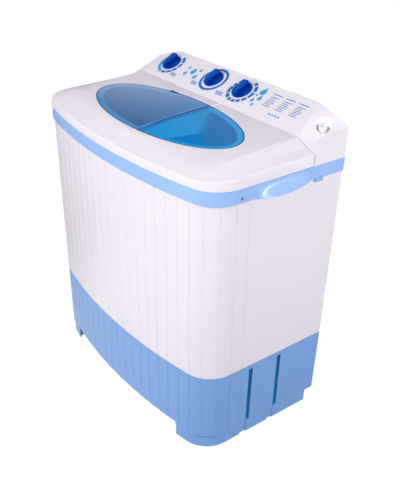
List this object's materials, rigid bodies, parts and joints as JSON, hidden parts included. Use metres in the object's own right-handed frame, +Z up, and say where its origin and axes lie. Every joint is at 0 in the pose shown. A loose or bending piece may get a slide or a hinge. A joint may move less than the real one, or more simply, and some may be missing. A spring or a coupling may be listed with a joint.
{
  "type": "twin tub washing machine",
  "caption": "Upright top loading twin tub washing machine: wash tub with pulsator, spin basket, hinged windowed lids, sloping console with knobs, blue waist band and plinth.",
  "frame": {"origin": "on the floor under the middle of the bounding box", "axes": "+Z up, +X to the machine's right as seen from the front, the front faces -Y, the console and hinges are at +Y"},
  "size_m": [0.776, 0.416, 0.8205],
  "materials": {
    "sky_plastic": "light blue moulded plastic, soft gloss",
    "white_plastic": "cool white moulded plastic, soft gloss",
    "knob_plastic": "deep blue moulded plastic, glossy",
    "tinted_window": "blue tinted clear acrylic",
    "dark_plastic": "black moulded plastic",
    "rubber": "black rubber",
    "zinc_steel": "galvanised steel sheet",
    "steel": "plain bright steel",
    "motor_paint": "dark grey enamel",
    "cast_alloy": "as-cast aluminium alloy",
    "bronze": "sintered bronze"
  },
  "bodies": {
    "body": {"base_plinth": "sky_plastic", "rubber_feet": "rubber", "cabinet_shell": "white_plastic", "rear_cover": "zinc_steel", "rear_cover_screws": "steel", "cord_gland": "rubber", "waist_band": "sky_plastic", "band_screws": "steel", "twin_tub": "white_plastic", "hinge_pins": "steel", "spin_tub": "white_plastic", "overflow_cover": "sky_plastic", "console": "white_plastic", "inlet_cup": "white_plastic", "wash_timer": "dark_plastic", "selector_switch": "dark_plastic", "spin_timer": "dark_plastic", "buzzer": "dark_plastic", "lid_switch": "dark_plastic", "inlet_nozzle": "white_plastic", "inlet_pipe": "white_plastic", "drive_bracket": "zinc_steel", "bracket_screws": "steel", "wash_bearing_housing": "cast_alloy", "wash_shaft_seal": "rubber", "wash_motor": "motor_paint", "drive_belt": "rubber", "capacitor": "cast_alloy", "spin_motor": "motor_paint", "motor_spider": "zinc_steel", "motor_springs": "steel", "brake_bracket": "zinc_steel", "brake_spring": "steel", "brake_cable": "rubber", "spin_bearing": "bronze", "water_seal": "rubber", "drain_valve_box": "white_plastic", "drain_valve_cap": "white_plastic", "valve_spring": "steel", "drain_hose": "rubber", "spin_drain_hose": "rubber", "drain_spigot": "white_plastic"},
    "wash_lid": {"wash_lid": "white_plastic", "wash_window": "tinted_window"},
    "spin_lid": {"spin_lid": "white_plastic", "spin_window": "tinted_window"},
    "wash_timer_knob": {"wash_timer_knob": "knob_plastic"},
    "selector_knob": {"selector_knob": "knob_plastic"},
    "spin_timer_knob": {"spin_timer_knob": "knob_plastic"},
    "pulsator": {"pulsator": "sky_plastic", "pulsator_screw": "steel", "pulsator_shaft": "steel", "big_pulley": "cast_alloy"},
    "motor_pulley": {"motor_pulley": "cast_alloy"},
    "spin_basket": {"spin_shaft": "steel", "brake_drum": "cast_alloy", "spin_basket": "white_plastic", "press_disc": "sky_plastic"},
    "brake_lever": {"brake_lever": "zinc_steel"},
    "drain_plunger": {"drain_plunger": "rubber"}
  },
  "joints": [
    {"name": "wash_lid_hinge", "type": "hinge", "parent": "body", "child": "wash_lid", "pos_m": [0, 0.1025, 0.76], "axis": [-1, 0, 0], "range_deg": [0, 92]},
    {"name": "spin_lid_hinge", "type": "hinge", "parent": "body", "child": "spin_lid", "pos_m": [0.198, 0.1025, 0.76], "axis": [-1, 0, 0], "range_deg": [0, 92]},
    {"name": "wash_timer_turn", "type": "hinge", "parent": "body", "child": "wash_timer_knob", "pos_m": [-0.25, 0.16441, 0.79433], "axis": [0, 0.4555, -0.8902], "range_deg": [0, 330]},
    {"name": "selector_turn", "type": "hinge", "parent": "body", "child": "selector_knob", "pos_m": [-0.06, 0.16441, 0.79433], "axis": [0, 0.4555, -0.8902], "range_deg": [0, 90]},
    {"name": "spin_timer_turn", "type": "hinge", "parent": "body", "child": "spin_timer_knob", "pos_m": [0.054, 0.16441, 0.79433], "axis": [0, 0.4555, -0.8902], "range_deg": [0, 330]},
    {"name": "pulsator_turn", "type": "hinge", "parent": "body", "child": "pulsator", "pos_m": [-0.163, -0.038, 0.285], "axis": [0, 0, 1], "continuous": true},
    {"name": "motor_pulley_turn", "type": "hinge", "parent": "body", "child": "motor_pulley", "pos_m": [-0.163, 0.114, 0.16], "axis": [0, 0, 1], "continuous": true},
    {"name": "spin_turn", "type": "hinge", "parent": "body", "child": "spin_basket", "pos_m": [0.198, -0.038, 0.285], "axis": [0, 0, 1], "continuous": true},
    {"name": "brake_lever_turn", "type": "hinge", "parent": "body", "child": "brake_lever", "pos_m": [0.136, 0.026, 0.198], "axis": [0, 0, -1], "range_deg": [0, 4]},
    {"name": "drain_lift", "type": "slide", "parent": "body", "child": "drain_plunger", "axis": [0, 0, 1], "range_m": [0, 0.01], "deforming": ["valve_spring"]}
  ],
  "couplings": [
    {"joint": "motor_pulley_turn", "follows": "pulsator_turn", "ratio": 5.75},
    {"joint": "brake_lever_turn", "follows": "spin_lid_hinge", "ratio": 0.043478},
    {"joint": "selector_turn", "follows": "drain_lift", "rad_per_m": 157.07}
  ]
}
